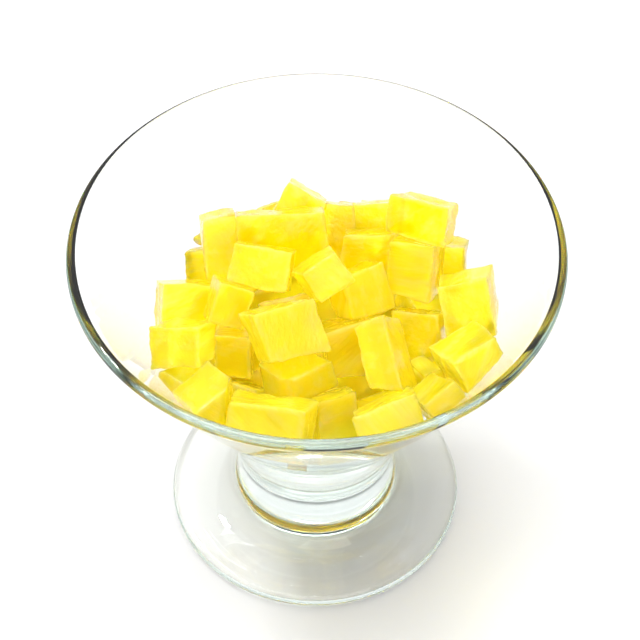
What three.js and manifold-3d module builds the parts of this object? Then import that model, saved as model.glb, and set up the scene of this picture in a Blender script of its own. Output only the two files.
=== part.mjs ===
// A heap of cut jelly cubes in a footed dessert glass.
// Millimetres, Z up, the middle of the foot's underside at the origin.
import * as THREE from "three";
import { mergeVertices } from "three/addons/utils/BufferGeometryUtils.js";
import Module from "manifold-3d";

// Glass
const HEIGHT = 95.2;
const RIM_DIAMETER = 112;
const LIP_RADIUS = 1.3;
const WALL = 2.2;
const WALL_SLOPE = 60;
const FOOT_DIAMETER = 74;
const FOOT_EDGE = 3.8;
const STEM_DIAMETER = 39.4;
const BOWL_FLOOR = 40.8;
const TURN_STEPS = 48;

// Jelly
const JELLY_GAP = 0.35;
const RING_CUBE = 12;

// The upper cubes: centre x, y, z, then turn, lean and roll in degrees, then width, depth and height.
// A cube leans with its top to the back and rolls with its top to the right.
const CUBES = {
  crown: [-4.5, 29.5, 74.5, 0, 42, 24, 10.5, 10, 10],
  long_bar: [-9, 18, 76, 4, 40, 0, 22.5, 10, 14],
  beside_bar: [-23, 16, 76, 4, 40, 0, 8, 10, 15],
  left_corner: [-24.5, 19.5, 65, -20, 30, -20, 11, 10, 10],
  under_bar: [-12.5, 5.5, 80.5, -4, 42, 5, 14.5, 10, 9.5],
  middle_diamond: [1.5, 0, 84.5, 14, 36, -24, 10, 9, 8],
  left_upper: [-30.5, 1.5, 71.5, 22, 42, 14, 13, 11, 11],
  left_lower: [-30, -13, 75, -20, 40, -12, 11, 11, 9.5],
  left_inner: [-20, -3.5, 78, 12, 38, 24, 9, 10, 10],
  left_deep: [-18.5, -10, 69.5, -5, 36, 0, 9, 11, 11],
  big_middle: [-7, -14, 81, 28, 44, 4, 14.5, 11, 12],
  front_inner: [-4, -19.5, 69, 40, 25, 8, 12, 12, 11],
  standing: [16, -16, 75, -28, 45, -36, 7, 11.5, 16],
  right_top: [25, 18.5, 83.5, -28, 36, -8, 13.5, 10, 9.5],
  right_under: [23, 10.5, 76.5, -24, 34, -8, 11.5, 11, 13],
  right_behind: [31, 17.5, 69, -15, 34, -8, 10, 11, 11],
  right_wall: [35, -2, 77, -11, 30, -16, 12, 11, 13.5],
  right_low: [35, -18, 76.5, 30, 30, -10, 12, 13, 11],
  right_front: [28.5, -28, 72.5, 25, 35, -20, 8.5, 13, 11],
  front_right: [16.5, -32, 71, 4, 45, -15, 14.5, 11, 10.5],
  front_left: [-10.5, -32.5, 71, -14, 40, 0, 18.5, 11, 11],
  left_front: [-23.5, -28.5, 73, 35, 20, -10, 11, 11, 11],
  front_deep: [4, -27, 64.5, 20, 35, 6, 11, 11, 13],
  middle_deep: [10, 3.5, 74.5, 35, 42, 6, 11, 10, 11],
  back_middle: [4.5, 26.5, 70.5, 5, 40, 0, 9, 10, 13],
  back_tip: [8.5, 33, 66, 30, 40, 20, 11, 10, 11],
  back_right: [14.5, 28.5, 70.5, -12, 36, -8, 10, 10, 11],
  back_inner: [12, 17, 71, -5, 38, 0, 12, 10, 13],
  right_deep: [24.5, -3, 67, -25, 38, -18, 12, 11, 11],
  centre_deep: [6, -8, 68, 10, 40, 0, 11, 11, 12],
  under_middle: [-6, -4, 71.5, 15, 40, 0, 12, 11, 12],
  under_front: [14, -24.5, 65, 15, 35, -8, 12, 12, 12],
  under_right: [28, -18, 67, 25, 30, -10, 12, 12, 12],
};

// Rings of cubes against the glass under the upper ones: height, radius, first and last bearing, count.
const RINGS = [
  [47.5, 14, 20, 320, 6],
  [59.5, 26.5, 18, 342, 10],
  [67, 31, 45, 132, 4],
];

const wasm = await Module();
wasm.setup();

function solid(geometry) {
  geometry.deleteAttribute("normal");
  geometry.deleteAttribute("uv");
  const merged = mergeVertices(geometry, 1e-4);
  return new wasm.Manifold(
    new wasm.Mesh({
      numProp: 3,
      vertProperties: merged.attributes.position.array,
      triVerts: new Uint32Array(merged.index.array),
    }),
  );
}

function geometryOf(manifold) {
  const mesh = manifold.getMesh();
  const geometry = new THREE.BufferGeometry();
  geometry.setAttribute("position", new THREE.BufferAttribute(mesh.vertProperties, 3));
  geometry.setIndex(new THREE.BufferAttribute(mesh.triVerts, 1));
  return geometry;
}

function lathe(profile, steps = TURN_STEPS) {
  return new THREE.LatheGeometry(profile, steps).rotateX(Math.PI / 2);
}

const point = (r, z) => new THREE.Vector2(r, z);
const smooth = (points, steps) => new THREE.SplineCurve(points).getPoints(steps);

function arc(centre, radius, from, to, steps) {
  return Array.from({ length: steps + 1 }, (_, i) => {
    const a = THREE.MathUtils.degToRad(from + ((to - from) * i) / steps);
    return point(centre.x + radius * Math.cos(a), centre.y + radius * Math.sin(a));
  });
}

// The wall's straight outer line, and the inner line beside it
const slope = THREE.MathUtils.degToRad(WALL_SLOPE);
const lip = point(RIM_DIAMETER / 2 - LIP_RADIUS, HEIGHT - LIP_RADIUS);
const lipEdge = lip.x + LIP_RADIUS * Math.sin(slope);
const lipLow = lip.y - LIP_RADIUS * Math.cos(slope);
const outer = (z) => point(lipEdge - (lipLow - z) / Math.tan(slope), z);
const inner = (z, gap = 0) => point(outer(z).x - (WALL + gap) / Math.sin(slope), z);

const stem = STEM_DIAMETER / 2;
const footEdge = FOOT_EDGE / 2;
const footRim = point(FOOT_DIAMETER / 2 - footEdge, footEdge);

// Foot, stem and the outside of the bowl
const outside = smooth(
  [
    point(footRim.x, FOOT_EDGE),
    point(stem + 10.3, 4.5),
    point(stem + 5.8, 5.6),
    point(stem + 2.3, 7.6),
    point(stem + 0.6, 10.5),
    point(stem, 15),
    point(stem, 21),
    point(stem + 0.9, 27),
    point(stem + 3.2, 34),
    point(stem + 6.3, 40.5),
    outer(48),
    outer(60),
    outer(76),
    outer(lipLow),
  ],
  26,
);

// The inside of the bowl, from the lip down to the middle of its floor
function inside(gap) {
  return [
    inner(92, gap),
    inner(76, gap),
    inner(60, gap),
    point(27.2 - gap, 49),
    point(22.8 - gap, 44.6 + gap),
    point(16.5 - gap, BOWL_FLOOR + 1.2 + gap),
    point(8, BOWL_FLOOR + 0.2 + gap),
    point(0, BOWL_FLOOR + gap),
  ];
}

const glassProfile = [
  point(0, 0),
  ...arc(footRim, footEdge, -90, 90, 6).slice(0, -1),
  ...outside,
  ...arc(lip, LIP_RADIUS, WALL_SLOPE - 90, WALL_SLOPE + 90, 6).slice(1),
  ...smooth(inside(0), 14),
];

// One cube, its turn, lean and roll taken in that order
function cube([x, y, z, turn, lean, roll, width, depth, height]) {
  const [a, b, c] = [-lean, roll, turn].map(THREE.MathUtils.degToRad);
  const geometry = new THREE.BoxGeometry(width, depth, height);
  geometry.applyMatrix4(new THREE.Matrix4().makeRotationFromEuler(new THREE.Euler(a, b, c, "ZXY")));
  return solid(geometry.translate(x, y, z));
}

function ring([z, radius, first, last, count]) {
  return Array.from({ length: count }, (_, i) => {
    const bearing = first + ((last - first) * i) / (count - 1);
    const a = THREE.MathUtils.degToRad(bearing);
    const unevenness = 12 * Math.sin(5 * i + z);
    return cube([
      radius * Math.cos(a),
      radius * Math.sin(a),
      z + unevenness / 10,
      bearing - 90 + unevenness,
      24 + unevenness,
      unevenness / 2,
      RING_CUBE,
      RING_CUBE,
      RING_CUBE - 1,
    ]);
  });
}

// The middle of the heap, under the upper cubes
const coreProfile = [
  point(0, 43),
  point(13, 43.5),
  point(20, 48),
  point(27, 57),
  point(30, 63),
  point(29, 67),
  point(20, 71.5),
  point(0, 74),
];
const room = solid(lathe([...smooth(inside(JELLY_GAP), 14).reverse(), point(0, 92)]));
const pile = wasm.Manifold.union([
  solid(lathe(coreProfile, TURN_STEPS / 2)),
  ...Object.values(CUBES).map(cube),
  ...RINGS.flatMap(ring),
]).intersect(room);
// Pockets between the cubes are filled
const [heap] = pile.decompose().sort((a, b) => b.volume() - a.volume());

const glassLook = new THREE.MeshStandardMaterial({ color: 0xe6f0ea, roughness: 0.03, metalness: 0 });
const jellyLook = new THREE.MeshStandardMaterial({ color: 0xfee808, roughness: 0.2, metalness: 0 });

const glass = new THREE.Mesh(lathe(glassProfile), glassLook);
glass.name = "glass_coupe";
const jelly = new THREE.Mesh(geometryOf(heap), jellyLook);
jelly.name = "jelly_heap";

const group = new THREE.Group();
group.add(glass, jelly);

export default group;
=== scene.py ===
"""A heap of cut jelly cubes in a footed dessert glass. Sizes are in millimetres, Z up."""

import math

import bmesh
import bpy
import numpy as np
from mathutils import Matrix, Vector, noise


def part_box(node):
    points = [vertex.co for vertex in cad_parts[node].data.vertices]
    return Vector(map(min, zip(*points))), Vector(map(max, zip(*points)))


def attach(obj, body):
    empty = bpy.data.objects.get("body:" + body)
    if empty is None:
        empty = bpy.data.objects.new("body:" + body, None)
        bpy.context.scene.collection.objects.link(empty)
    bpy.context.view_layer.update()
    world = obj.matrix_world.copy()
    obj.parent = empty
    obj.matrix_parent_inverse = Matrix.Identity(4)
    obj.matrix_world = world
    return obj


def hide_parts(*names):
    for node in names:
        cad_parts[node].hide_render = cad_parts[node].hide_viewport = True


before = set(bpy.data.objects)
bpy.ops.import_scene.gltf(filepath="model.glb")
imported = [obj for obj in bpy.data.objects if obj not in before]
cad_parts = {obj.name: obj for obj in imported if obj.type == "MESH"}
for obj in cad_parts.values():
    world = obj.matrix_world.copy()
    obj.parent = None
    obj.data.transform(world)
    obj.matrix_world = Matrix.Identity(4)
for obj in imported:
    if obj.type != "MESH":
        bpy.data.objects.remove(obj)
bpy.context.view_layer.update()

MM = 0.001

# Glass
GLASS_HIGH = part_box("glass_coupe")[1]
HEIGHT = GLASS_HIGH.z / MM
RIM_RADIUS = GLASS_HIGH.x / MM
LIP_RADIUS = 1.3
WALL = 2.2
WALL_SLOPE = math.radians(60)
FOOT_RADIUS = 37.0
FOOT_EDGE = 3.8
FOOT_RECESS = 0.5
FOOT_RING = 30.5
STEM_RADIUS = 19.7
BOWL_FLOOR = 40.8
GLASS_STEPS = 192
GLASS_IOR = 1.5
# Light that stays in the glass for more bounces than this goes straight on
TRAPPED_BOUNCES = 20

# Jelly
RING_CUBE = 12.0
INTO_WALL = 0.12
CONTACT_GAP = 0.06
CUBE_CUTS = 13
EDGE_ROUND = 0.45
SKEW = 0.084
TAPER = 0.12
WAVE, WAVE_SIZE = 0.55, 6
DENT, DENT_SIZE = 0.2, 2.2
CUT_MARK, CUT_MARK_SIZE = 0.14, 1.2
NICK, NICK_SIZE, NICK_START = 0.4, 1.4, 0.85
CUT_STRETCH = 0.88
JELLY_IOR = 1.35
SEED = 7
# A cube thinner than this after pressing is left out
LEAST_LEFT = 4.0
# The way to the front top, and how far that way a cube lies where its painted shade is darkest and palest
# (darker deep in the heap, paler out at the front top)
FRONT_TOP = (0, -0.64, 0.77)
PAINTED_SHADE_DEPTHS = (48, 74)

# The upper cubes: centre x, y, z, then turn, lean and roll in degrees, then width, depth and height.
# A cube leans with its top to the back and rolls with its top to the right.
CUBES = {
    "crown": (-4.5, 29.5, 74.5, 0, 42, 24, 10.5, 10, 10),
    "long_bar": (-9, 18, 76, 4, 40, 0, 22.5, 10, 14),
    "beside_bar": (-23, 16, 76, 4, 40, 0, 8, 10, 15),
    "left_corner": (-24.5, 19.5, 65, -20, 30, -20, 11, 10, 10),
    "under_bar": (-12.5, 5.5, 80.5, -4, 42, 5, 14.5, 10, 9.5),
    "middle_diamond": (1.5, 0, 84.5, 14, 36, -24, 10, 9, 8),
    "left_upper": (-30.5, 1.5, 71.5, 22, 42, 14, 13, 11, 11),
    "left_lower": (-30, -13, 75, -20, 40, -12, 11, 11, 9.5),
    "left_inner": (-20, -3.5, 78, 12, 38, 24, 9, 10, 10),
    "left_deep": (-18.5, -10, 69.5, -5, 36, 0, 9, 11, 11),
    "big_middle": (-7, -14, 81, 28, 44, 4, 14.5, 11, 12),
    "front_inner": (-4, -19.5, 69, 40, 25, 8, 12, 12, 11),
    "standing": (16, -16, 75, -28, 45, -36, 7, 11.5, 16),
    "right_top": (25, 18.5, 83.5, -28, 36, -8, 13.5, 10, 9.5),
    "right_under": (23, 10.5, 76.5, -24, 34, -8, 11.5, 11, 13),
    "right_behind": (31, 17.5, 69, -15, 34, -8, 10, 11, 11),
    "right_wall": (35, -2, 77, -11, 30, -16, 12, 11, 13.5),
    "right_low": (35, -18, 76.5, 30, 30, -10, 12, 13, 11),
    "right_front": (28.5, -28, 72.5, 25, 35, -20, 8.5, 13, 11),
    "front_right": (16.5, -32, 71, 4, 45, -15, 14.5, 11, 10.5),
    "front_left": (-10.5, -32.5, 71, -14, 40, 0, 18.5, 11, 11),
    "left_front": (-23.5, -28.5, 73, 35, 20, -10, 11, 11, 11),
    "left_gap": (-30, -20, 66, -35, 30, 0, 10, 11, 11),
    "front_deep": (4, -27, 64.5, 20, 35, 6, 11, 11, 13),
    "middle_deep": (10, 3.5, 74.5, 35, 42, 6, 11, 10, 11),
    "back_middle": (4.5, 26.5, 70.5, 5, 40, 0, 9, 10, 13),
    "back_tip": (8.5, 33, 62, 30, 40, 20, 11, 10, 11),
    "back_right": (14.5, 28.5, 70.5, -12, 36, -8, 10, 10, 11),
    "back_inner": (12, 17, 71, -5, 38, 0, 12, 10, 13),
    "right_deep": (24.5, -3, 67, -25, 38, -18, 12, 11, 11),
    "centre_deep": (6, -8, 68, 10, 40, 0, 11, 11, 12),
    "under_middle": (-6, -4, 71.5, 15, 40, 0, 12, 11, 12),
    "under_front": (14, -24.5, 65, 15, 35, -8, 12, 12, 12),
    "under_right": (28, -18, 67, 25, 30, -10, 12, 12, 12),
}

# Rings of cubes against the glass under the upper ones: height, radius, first and last bearing, count
RINGS = [
    (47.5, 14, 20, 320, 6),
    (59.5, 26.5, 18, 342, 10),
    (67, 31, 45, 132, 4),
]

# The middle of the heap, under the upper cubes: radius and height
CORE = [(0, 43), (11, 43.5), (17, 48), (21, 55), (22, 59), (20, 62), (12, 64), (0, 65)]

# Camera, fitted to the rim, the foot and the stem
PICTURE_WIDTH = 640
CAMERA_ELEVATION = 50.294
CAMERA_DISTANCE = 440.0
CAMERA_FOCAL_PIXELS = 1878.98
CAMERA_TARGET = (0.819, 0.0, 68.294)
CAMERA_ROLL = 0.569
SENSOR = 36.0


# Curves and meshes


def smooth(points, steps):
    """Points on a Catmull-Rom curve through the given ones, with so many steps between each two."""
    p = [np.array(q, float) for q in points]
    p = [2 * p[0] - p[1], *p, 2 * p[-1] - p[-2]]
    curve = []
    for a, b, c, d in zip(p, p[1:], p[2:], p[3:]):
        for t in np.arange(steps) / steps:
            cubic = (3 * b - a - 3 * c + d) * t**3
            curve.append((2 * b + (c - a) * t + (2 * a - 5 * b + 4 * c - d) * t**2 + cubic) / 2)
    return [*curve, p[-2]]


def arc(centre, radius, start, end, steps):
    """Points on an arc between two angles in radians."""
    angles = np.linspace(start, end, steps + 1)
    return [np.array(centre) + radius * np.array((math.cos(a), math.sin(a))) for a in angles]


def lathe(profile, steps):
    """Vertices in millimetres and faces of an outline turned about Z. It starts and ends on the axis."""
    turn = np.arange(steps) * 2 * math.pi / steps
    verts, rings = [], []
    for r, z in profile:
        count = 1 if r < 1e-6 else steps
        rings.append(len(verts) + np.arange(count))
        verts += [(r * math.cos(a), r * math.sin(a), z) for a in turn[:count]]
    faces = []
    for low, high in zip(rings, rings[1:]):
        for i in range(steps):
            j = (i + 1) % steps
            corners = (low[i % len(low)], low[j % len(low)], high[j % len(high)], high[i % len(high)])
            faces.append(tuple(dict.fromkeys(int(c) for c in corners)))
    return np.array(verts), faces


def add_piece(name, verts, faces, material, slot, *nodes):
    """A smooth mesh piece of the object, from vertices in millimetres, in place of the named nodes."""
    mesh = bpy.data.meshes.new(name)
    mesh.from_pydata((np.asarray(verts) * MM).tolist(), [], faces)
    mesh.shade_smooth()
    mesh.materials.append(material)
    piece = bpy.data.objects.new(name, mesh)
    bpy.context.scene.collection.objects.link(piece)
    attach(piece, "root")
    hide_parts(*nodes)
    return piece


# Shape of the glass

lip = (RIM_RADIUS - LIP_RADIUS, HEIGHT - LIP_RADIUS)
lip_edge = lip[0] + LIP_RADIUS * math.sin(WALL_SLOPE)
lip_low = lip[1] - LIP_RADIUS * math.cos(WALL_SLOPE)


def outer(z):
    return (lip_edge - (lip_low - z) / math.tan(WALL_SLOPE), z)


def inner(z):
    return (outer(z)[0] - WALL / math.sin(WALL_SLOPE), z)


# The inside of the bowl, from the lip down to the middle of its floor
INSIDE = smooth(
    [
        inner(92),
        inner(76),
        inner(60),
        (27.2, 49),
        (22.8, 44.6),
        (16.5, BOWL_FLOOR + 1.2),
        (8, BOWL_FLOOR + 0.2),
        (0, BOWL_FLOOR),
    ],
    8,
)


def glass_profile():
    foot_edge = FOOT_EDGE / 2
    foot_rim = (FOOT_RADIUS - foot_edge, foot_edge)
    outside = smooth(
        [
            (foot_rim[0], FOOT_EDGE),
            (STEM_RADIUS + 10.3, 4.5),
            (STEM_RADIUS + 5.8, 5.6),
            (STEM_RADIUS + 2.3, 7.6),
            (STEM_RADIUS + 0.6, 10.5),
            (STEM_RADIUS, 15),
            (STEM_RADIUS, 21),
            (STEM_RADIUS + 0.9, 27),
            (STEM_RADIUS + 3.2, 34),
            (STEM_RADIUS + 6.3, 40.5),
            outer(48),
            outer(60),
            outer(76),
            outer(lip_low),
        ],
        6,
    )
    return [
        (0, FOOT_RECESS),
        (FOOT_RING - 1, FOOT_RECESS),
        *smooth([(FOOT_RING, FOOT_RECESS), (FOOT_RING + 1.5, FOOT_RECESS / 3), (FOOT_RING + 3, 0)], 4),
        *arc(foot_rim, foot_edge, -math.pi / 2, math.pi / 2, 14)[1:-1],
        *outside,
        *arc(lip, LIP_RADIUS, WALL_SLOPE - math.pi / 2, WALL_SLOPE + math.pi / 2, 14)[1:],
        *INSIDE,
    ]


# Shape of the jelly


def cube_template():
    """Vertices of a cube of half size 1, its grid closer at the edges, and its faces."""
    form = bmesh.new()
    bmesh.ops.create_cube(form, size=2)
    bmesh.ops.subdivide_edges(form, edges=form.edges, cuts=CUBE_CUTS, use_grid_fill=True)
    verts = np.array([v.co for v in form.verts])
    faces = [tuple(v.index for v in f.verts) for f in form.faces]
    form.free()
    return np.sin(verts * math.pi / 2), faces


def turned(turn, lean, roll):
    """The matrix of a turn about Z, a lean of the top to the back and a roll to the right."""
    a, b, c = (math.radians(v) for v in (turn, -lean, roll))
    return np.array(
        Matrix.Rotation(a, 3, "Z") @ Matrix.Rotation(b, 3, "X") @ Matrix.Rotation(c, 3, "Y")
    )


def noise_at(points, scale, shift):
    """Smooth noise at each point, with features of about the given size in millimetres."""
    return np.array([noise.noise(Vector(p) / scale + Vector(shift)) for p in points])


def kept_inside(points):
    """The points, those past the glass brought back to just inside its wall."""
    line = np.array(INSIDE)[::-1]
    out = points.copy()
    out[:, 2] = np.maximum(out[:, 2], BOWL_FLOOR - INTO_WALL)
    radius = np.hypot(out[:, 0], out[:, 1])
    limit = np.interp(out[:, 2], line[:, 1], line[:, 0]) + INTO_WALL
    squeeze = np.minimum(1, limit / np.maximum(radius, 1e-6))
    out[:, :2] *= squeeze[:, None]
    return out


def cut_cube(template, place, random):
    """One cut cube: uneven corners, rounded edges, wavy faces and fine cutting marks.

    With its points go how near each is to an edge, and its place drawn out along the cut.
    """
    half = np.array(place[6:]) / 2
    inner_half = half - EDGE_ROUND
    box = template * half
    nearest = np.clip(box, -inner_half, inner_half)
    away = box - nearest
    length = np.linalg.norm(away, axis=1, keepdims=True)
    normal = away / np.maximum(length, 1e-9)
    points = nearest + EDGE_ROUND * normal
    edge = np.sort(np.abs(template), axis=1)[:, 1]
    skew = random.uniform(-SKEW, SKEW, (3, 3))
    np.fill_diagonal(skew, 0)
    taper = random.uniform(-TAPER, TAPER, 3)
    slant = (template * half[[1, 2, 0]]) @ skew.T
    points = points * (1 + template[:, [1, 2, 0]] * taper) + slant
    shift = random.uniform(-50, 50, 3)
    along = random.normal(size=3)
    along /= np.linalg.norm(along)
    cut = points - CUT_STRETCH * (points @ along)[:, None] * along + shift
    near_edge = np.clip((edge - NICK_START) / (1 - NICK_START), 0, 1)
    relief = WAVE * noise_at(points, WAVE_SIZE, shift) + DENT * noise_at(points, DENT_SIZE, shift)
    relief += CUT_MARK * noise_at(cut, CUT_MARK_SIZE, shift)
    relief += NICK * near_edge * noise_at(points, NICK_SIZE, shift)
    points = points + normal * relief[:, None]
    x, y, z, turn, lean, roll = place[:6]
    return points @ turned(turn, lean, roll).T + np.array((x, y, z)), edge, cut


def ring_places():
    places = []
    for z, radius, first, last, count in RINGS:
        for i in range(count):
            bearing = first + (last - first) * i / (count - 1)
            a = math.radians(bearing)
            uneven = 12 * math.sin(5 * i + z)
            centre = (radius * math.cos(a), radius * math.sin(a), z + uneven / 10)
            tilt = (bearing - 90 + uneven, 24 + uneven, uneven / 2)
            places.append((*centre, *tilt, RING_CUBE, RING_CUBE, RING_CUBE - 1))
    return places


def contact(first, second):
    """Where two cubes overlap: the direction from the first to the second, and the overlap's two sides."""
    a, b = (np.array(place[:3]) for place in (first, second))
    turn_a, turn_b = (turned(*place[3:6]) for place in (first, second))
    half_a, half_b = (np.array(place[6:]) / 2 for place in (first, second))
    crossed = [np.cross(u, v) for u in turn_a.T for v in turn_b.T]
    crossed = [c / np.linalg.norm(c) for c in crossed if np.linalg.norm(c) > 0.05]
    axes = [*turn_a.T, *turn_b.T, *crossed]
    best = None
    for axis in axes:
        axis = axis if axis @ (b - a) > 0 else -axis
        end = axis @ a + half_a @ np.abs(axis @ turn_a)
        start = axis @ b - half_b @ np.abs(axis @ turn_b)
        if end <= start:
            return None
        if best is None or end - start < best[1] - best[2]:
            best = (axis, end, start)
    return best


def contacts(places):
    """For each cube, the planes that its neighbours press it flat against.

    Of two cubes, the one nearer the front top stays firm.
    """
    planes = [[] for _ in places]
    firmness = [Vector(FRONT_TOP).dot(place[:3]) for place in places]
    for i, first in enumerate(places):
        for j in range(i + 1, len(places)):
            found = contact(first, places[j])
            if found:
                axis, end, start = found
                plane = end if firmness[i] > firmness[j] else start
                planes[i].append((axis, plane - CONTACT_GAP / 2))
                planes[j].append((-axis, -plane - CONTACT_GAP / 2))
    return planes


def pressed(points, planes):
    """The points, those past a plane brought back to it."""
    for axis, limit in planes:
        points = points - np.maximum(points @ axis - limit, 0)[:, None] * axis
    return points


def jelly_cubes(material):
    """All the cubes as one mesh.

    Each vertex knows how near an edge it is, its cube's painted shade (darker deep in the heap, paler at
    its front top, with a random tone of its own) and its place drawn out along the cut.
    """
    random = np.random.default_rng(SEED)
    template, template_faces = cube_template()
    verts, faces, edges, painted_shades_and_tones, cuts = [], [], [], [], []
    places = [*CUBES.values(), *ring_places()]
    for place, planes in zip(places, contacts(places)):
        points, edge, cut = cut_cube(template, place, random)
        points = kept_inside(pressed(points, planes))
        if np.ptp(points @ turned(*place[3:6]), axis=0).min() < LEAST_LEFT:
            continue
        first = len(verts) * len(template)
        verts.append(points)
        faces += [tuple(first + i for i in f) for f in template_faces]
        edges.append(edge)
        cuts.append(cut)
        outward = np.dot(FRONT_TOP, place[:3])
        # Painted shade: a cube further out toward the front top is painted paler and one deeper in the
        # heap darker, plus a random tone of its own.
        painted_shade_and_tone = np.interp(outward, PAINTED_SHADE_DEPTHS, (0, 1)) + random.uniform(-0.25, 0.25)
        painted_shades_and_tones.append(np.full(len(template), painted_shade_and_tone))
    verts = np.concatenate(verts)
    piece = add_piece("jelly_cubes", verts, faces, material, "yellow_jelly", "jelly_heap")
    for name, values in (("edge", edges), ("painted_shade_and_tone", painted_shades_and_tones)):
        attribute = piece.data.attributes.new(name, "FLOAT", "POINT")
        attribute.data.foreach_set("value", np.concatenate(values))
    attribute = piece.data.attributes.new("cut", "FLOAT_VECTOR", "POINT")
    attribute.data.foreach_set("vector", np.concatenate(cuts).ravel())
    return piece


def jelly_core(material):
    verts, faces = lathe(smooth(CORE, 6), 96)
    verts[:, 2] += 1.2 * noise_at(verts, 7, (3, 1, 4))
    return add_piece("jelly_core", verts, faces, material, "yellow_jelly", "jelly_heap")


# Materials


class Nodes:
    """Short ways to add and join the nodes of one material."""

    def __init__(self, name):
        self.material = bpy.data.materials.new(name)
        self.material.use_nodes = True
        self.tree = self.material.node_tree
        self.shader = self.tree.nodes["Principled BSDF"]
        self.output = self.tree.nodes["Material Output"]

    def add(self, kind, **values):
        node = self.tree.nodes.new("ShaderNode" + kind)
        for name, value in values.items():
            setattr(node, name, value)
        return node

    def join(self, source, target):
        self.tree.links.new(source, target)

    def put(self, **values):
        """Values on the shader's own sockets, named with _ for a space."""
        for name, value in values.items():
            self.shader.inputs[name.replace("_", " ")].default_value = value

    def ramp(self, source, *stops):
        """A colour ramp over a value: places and colours."""
        node = self.add("ValToRGB")
        elements = node.color_ramp.elements
        while len(elements) < len(stops):
            elements.new(0.5)
        for element, (place, colour) in zip(elements, stops):
            element.position = place
            element.color = (*colour, 1)
        self.join(source, node.inputs["Fac"])
        return node.outputs["Color"]


def clear_where(n, amount, surface, colour):
    """The surface, or a clear tinted one where the amount is 1."""
    clear = n.add("BsdfTransparent")
    clear.inputs["Color"].default_value = (*colour, 1)
    mix = n.add("MixShader")
    n.join(amount, mix.inputs["Fac"])
    n.join(surface, mix.inputs[1])
    n.join(clear.outputs["BSDF"], mix.inputs[2])
    return mix.outputs["Shader"]


def let_light_through(n, surface, colour):
    """Lamps shine through the surface, tinted, instead of leaving a black shadow."""
    shadow = n.add("LightPath").outputs["Is Shadow Ray"]
    n.join(clear_where(n, shadow, surface, colour), n.output.inputs["Surface"])


def glass_material():
    n = Nodes("clear_glass")
    n.put(Base_Color=(1, 1, 1, 1), Transmission_Weight=1.0, Roughness=0.0, IOR=GLASS_IOR)
    long_way = n.add("Math", operation="GREATER_THAN")
    long_way.inputs[1].default_value = TRAPPED_BOUNCES
    n.join(n.add("LightPath").outputs["Ray Depth"], long_way.inputs[0])
    surface = clear_where(n, long_way.outputs["Value"], n.shader.outputs["BSDF"], (0.8, 0.82, 0.7))
    let_light_through(n, surface, (0.68, 0.68, 0.65))
    tint = n.add("VolumeAbsorption")
    tint.inputs["Color"].default_value = (0.55, 0.82, 0.72, 1)
    tint.inputs["Density"].default_value = 6.0
    n.join(tint.outputs["Volume"], n.output.inputs["Volume"])
    return n.material


def streaks(n, size, detail):
    """Noise drawn out along each cube's own cut, with features of that size in millimetres."""
    texture = n.add("TexNoise")
    texture.inputs["Scale"].default_value = 1 / size
    texture.inputs["Detail"].default_value = detail
    n.join(n.add("Attribute", attribute_name="cut").outputs["Vector"], texture.inputs["Vector"])
    return texture.outputs["Fac"]


def ranged(n, source, start, end, low, high):
    """A value brought from one range to another."""
    node = n.add("MapRange")
    for socket, value in zip(("From Min", "From Max", "To Min", "To Max"), (start, end, low, high)):
        node.inputs[socket].default_value = value
    n.join(source, node.inputs["Value"])
    return node.outputs["Result"]


def mixed(n, amount, first, second):
    """The first colour, with an amount of the second."""
    node = n.add("MixRGB")
    node.inputs["Color2"].default_value = (*second, 1)
    n.join(amount, node.inputs["Fac"])
    n.join(first, node.inputs["Color1"])
    return node.outputs["Color"]


def multiplied(n, first, second):
    """The product of two values."""
    node = n.add("Math", operation="MULTIPLY")
    n.join(first, node.inputs[0])
    n.join(second, node.inputs[1])
    return node.outputs["Value"]


def mixed_values(n, amount, first, second):
    """The first value, with an amount of the second."""
    node = n.add("Mix")
    node.inputs["Factor"].default_value = amount
    n.join(first, node.inputs["A"])
    n.join(second, node.inputs["B"])
    return node.outputs["Result"]


def jelly_shader(n):
    """What the cubes and the core share: partly clear, partly clouded."""
    n.put(
        Subsurface_Weight=1.0,
        Subsurface_Radius=(1.0, 0.8, 0.08),
        Subsurface_Scale=0.008,
        Transmission_Weight=0.72,
        IOR=JELLY_IOR,
    )


def jelly_material():
    """Wet jelly: each cube with painted shade, darker deep in the heap and paler at its front top, plus a
    random tone; a painted highlight on its uneven edges; and pale streaks on its cut faces.
    """
    n = Nodes("jelly")
    jelly_shader(n)
    coarse, fine = streaks(n, 3.0, 3), streaks(n, 0.9, 4)
    # Painted shade: the ramp runs from a darker yellow for cubes deep in the heap to a paler one at its
    # front top.
    painted_shade_and_tone = n.add("Attribute", attribute_name="painted_shade_and_tone").outputs["Fac"]
    colour = n.ramp(painted_shade_and_tone, (0.0, (1.0, 0.79, 0.002)), (1.0, (1.0, 0.84, 0.035)))
    colour = mixed(n, ranged(n, coarse, 0.5, 0.75, 0.0, 0.55), colour, (1.0, 0.88, 0.24))
    # Painted highlight: the cube edges are painted paler, broken up by fine noise, where light catches and
    # enters them.
    edge = n.add("Attribute", attribute_name="edge").outputs["Fac"]
    near_edge = multiplied(n, ranged(n, edge, 0.8, 1.0, 0.0, 1.0), ranged(n, fine, 0.3, 0.7, 0.2, 0.9))
    colour = mixed(n, near_edge, colour, (1.0, 0.9, 0.26))
    n.join(colour, n.shader.inputs["Base Color"])
    n.join(ranged(n, coarse, 0.3, 0.7, 0.03, 0.1), n.shader.inputs["Roughness"])
    bump = n.add("Bump")
    bump.inputs["Strength"].default_value = 0.5
    bump.inputs["Distance"].default_value = 0.001
    n.join(mixed_values(n, 0.35, coarse, fine), bump.inputs["Height"])
    n.join(bump.outputs["Normal"], n.shader.inputs["Normal"])
    let_light_through(n, n.shader.outputs["BSDF"], (0.66, 0.64, 0.52))
    return n.material


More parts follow.
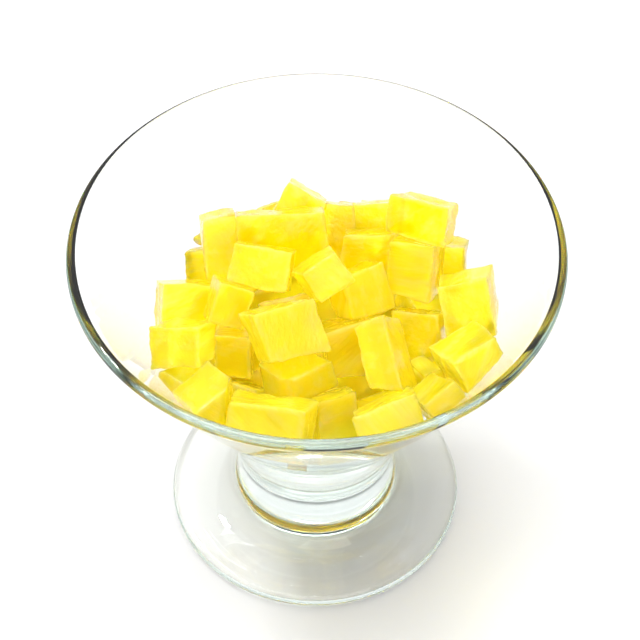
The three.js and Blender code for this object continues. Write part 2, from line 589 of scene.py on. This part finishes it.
def core_material():
    """The same jelly in the deep of the heap, where only its colour and its clouding show."""
    n = Nodes("deep_jelly")
    jelly_shader(n)
    n.put(Roughness=0.3)
    cloud = n.add("TexNoise")
    cloud.inputs["Scale"].default_value = 160
    n.join(n.add("TexCoord").outputs["Object"], cloud.inputs["Vector"])
    colour = n.ramp(cloud.outputs["Fac"], (0.3, (1.0, 0.79, 0.003)), (0.7, (1.0, 0.85, 0.008)))
    n.join(colour, n.shader.inputs["Base Color"])
    return n.material


def floor_material():
    n = Nodes("white_floor")
    n.put(Base_Color=(0.6, 0.603, 0.615, 1), Roughness=0.7)
    return n.material


# Stage


def add_floor():
    """A white floor just under the foot."""
    half = 1.5
    below = -0.2 * MM
    mesh = bpy.data.meshes.new("floor")
    corners = [(-half, -half, below), (half, -half, below), (half, half, below), (-half, half, below)]
    mesh.from_pydata(corners, [], [(0, 1, 2, 3)])
    mesh.materials.append(floor_material())
    floor = bpy.data.objects.new("floor", mesh)
    bpy.context.scene.collection.objects.link(floor)


def add_world():
    """A white studio, dim low down and most of all at its left and right, for dark lines in the glass."""
    world = bpy.data.worlds.new("studio")
    world.use_nodes = True
    bpy.context.scene.world = world
    tree = world.node_tree
    back = tree.nodes["Background"]
    place = tree.nodes.new("ShaderNodeTexCoord")
    split = tree.nodes.new("ShaderNodeSeparateXYZ")
    height = tree.nodes.new("ShaderNodeMapRange")
    sides = tree.nodes.new("ShaderNodeMapRange")
    across = tree.nodes.new("ShaderNodeMath")
    across.operation = "ABSOLUTE"
    brighter = tree.nodes.new("ShaderNodeMath")
    brighter.operation = "MAXIMUM"
    for node, values in ((height, (0.12, 0.4, 0.28, 1.0)), (sides, (0.72, 0.86, 0.4, 0.2))):
        for socket, value in zip(("From Min", "From Max", "To Min", "To Max"), values):
            node.inputs[socket].default_value = value
    tree.links.new(place.outputs["Generated"], split.inputs["Vector"])
    tree.links.new(split.outputs["Z"], height.inputs["Value"])
    tree.links.new(split.outputs["X"], across.inputs[0])
    tree.links.new(across.outputs["Value"], sides.inputs["Value"])
    tree.links.new(height.outputs["Result"], brighter.inputs[0])
    tree.links.new(sides.outputs["Result"], brighter.inputs[1])
    tree.links.new(brighter.outputs["Value"], back.inputs["Color"])
    back.inputs["Strength"].default_value = 1.05


def add_softbox(name, place, size, power):
    """A square lamp that looks at the middle of the glass. Its place and size are in metres."""
    lamp = bpy.data.lights.new(name, "AREA")
    lamp.size = size
    lamp.energy = power
    softbox = bpy.data.objects.new(name, lamp)
    softbox.location = place
    aim = Vector((0, 0, HEIGHT / 2 * MM)) - softbox.location
    softbox.rotation_euler = aim.to_track_quat("-Z", "Y").to_euler()
    bpy.context.scene.collection.objects.link(softbox)


def add_camera():
    """The photo's camera."""
    elevation = math.radians(CAMERA_ELEVATION)
    roll = math.radians(CAMERA_ROLL)
    ahead = Vector((0, math.cos(elevation), -math.sin(elevation)))
    right = Vector((1, 0, 0))
    up = right.cross(ahead)
    side = math.cos(roll) * right + math.sin(roll) * up
    top = math.cos(roll) * up - math.sin(roll) * right
    place = (Vector(CAMERA_TARGET) - ahead * CAMERA_DISTANCE) * MM
    data = bpy.data.cameras.new("camera")
    data.sensor_width = SENSOR
    data.lens = CAMERA_FOCAL_PIXELS / PICTURE_WIDTH * SENSOR
    data.clip_start = 0.01
    camera = bpy.data.objects.new("camera", data)
    axes = Matrix((side, top, -ahead)).transposed()
    camera.matrix_world = Matrix.Translation(place) @ axes.to_4x4()
    bpy.context.scene.collection.objects.link(camera)
    bpy.context.scene.camera = camera


def set_light_paths():
    scene = bpy.context.scene
    scene.view_settings.view_transform = "Standard"
    scene.cycles.use_denoising = True
    scene.cycles.max_bounces = 32
    scene.cycles.transmission_bounces = 32
    scene.cycles.transparent_max_bounces = 32
    scene.cycles.glossy_bounces = 12


glass = lathe(glass_profile(), GLASS_STEPS)
add_piece("dessert_glass", *glass, glass_material(), "clear_glass", "glass_coupe")
jelly_cubes(jelly_material())
jelly_core(core_material())

add_floor()
add_world()
add_softbox("key_light", (-0.05, 0.15, 1.0), 0.6, 6.5)
add_softbox("fill_light", (0.15, -0.6, 0.7), 0.6, 2.2)
add_softbox("glint_light", (-0.35, 0.25, 0.7), 0.06, 3.0)
add_camera()
set_light_paths()
